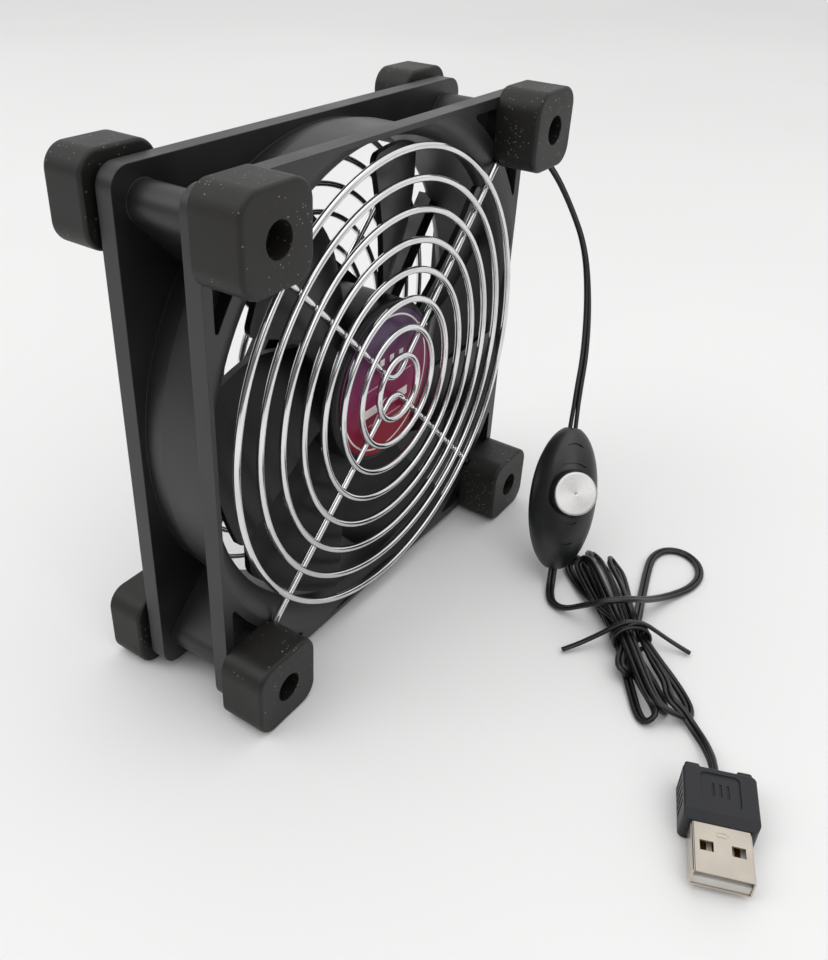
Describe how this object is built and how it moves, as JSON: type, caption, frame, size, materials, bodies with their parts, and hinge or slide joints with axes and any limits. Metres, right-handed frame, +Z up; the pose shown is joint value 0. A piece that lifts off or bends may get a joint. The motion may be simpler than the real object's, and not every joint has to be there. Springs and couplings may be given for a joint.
{
  "type": "case fan",
  "caption": "Square axial case fan with a swept impeller, wire guards and rubber feet on both faces, and a USB lead with an inline speed knob.",
  "frame": {"origin": "on the surface that the feet stand on, below the middle of the fan", "axes": "X across the fan, to the right seen from the intake side; +Y from the intake face to the outlet face, along the fan's axis; +Z up"},
  "size_m": [0.1384, 0.1501, 0.1242],
  "materials": {
    "frame": "satin",
    "guard_wire": "bright plated",
    "foot_rubber": "matt",
    "screws": "blackened",
    "impeller": "satin",
    "label": "glossy printed film",
    "yoke": "satin",
    "magnet": "matt",
    "shaft": "ground",
    "clip": "satin",
    "bush": "sintered",
    "cap": "satin",
    "core": "satin",
    "bobbin": "satin",
    "coil": "enamelled",
    "board": "lacquered",
    "chips": "satin",
    "rear_label": "satin film",
    "lead": "satin",
    "clip_plastic": "satin",
    "tie": "satin",
    "control": "semi-gloss",
    "knob": "satin",
    "knob_metal": "spun",
    "spindle": "satin",
    "pot": "satin",
    "overmould": "fine textured",
    "plug_metal": "nickel plated",
    "tongue": "satin",
    "contacts": "gold plated"
  },
  "bodies": {
    "fan": {"fan_frame": "frame", "front_guard": "guard_wire", "rear_guard": "guard_wire", "foot_front_top_left": "foot_rubber", "foot_front_top_right": "foot_rubber", "foot_front_bottom_left": "foot_rubber", "foot_front_bottom_right": "foot_rubber", "foot_rear_top_left": "foot_rubber", "foot_rear_top_right": "foot_rubber", "foot_rear_bottom_left": "foot_rubber", "foot_rear_bottom_right": "foot_rubber", "front_screws": "screws", "rear_screws": "screws", "bearing_bush": "bush", "bearing_cap": "cap", "stator_core": "core", "stator_bobbins": "bobbin", "stator_coils": "coil", "motor_board": "board", "board_parts": "chips", "rear_label": "rear_label", "lead_in_strut": "lead", "lead_clip": "clip_plastic", "control_front_shell": "control", "control_rear_shell": "control", "potentiometer": "pot", "control_board": "board", "plug_overmould": "overmould", "plug_shell": "plug_metal", "plug_tongue": "tongue", "plug_contacts": "contacts", "fan_lead": "lead", "loop_lead": "lead", "plug_lead": "lead", "lead_hank": "lead", "hank_tie": "tie"},
    "rotor": {"impeller": "impeller", "rotor_label": "label", "rotor_yoke": "yoke", "rotor_magnet": "magnet", "rotor_shaft": "shaft", "shaft_clip": "clip"},
    "knob": {"speed_knob": "knob", "knob_cap": "knob_metal", "control_spindle": "spindle"}
  },
  "joints": [
    {"name": "rotor_spin", "type": "hinge", "parent": "fan", "child": "rotor", "pos_m": [0, 0, 0.0621], "axis": [0, -1, 0], "continuous": true},
    {"name": "knob_turn", "type": "hinge", "parent": "fan", "child": "knob", "pos_m": [0.03657, -0.05044, 0.02595], "axis": [-0.6168, -0.6046, 0.504], "range_deg": [-150, 150]}
  ]
}
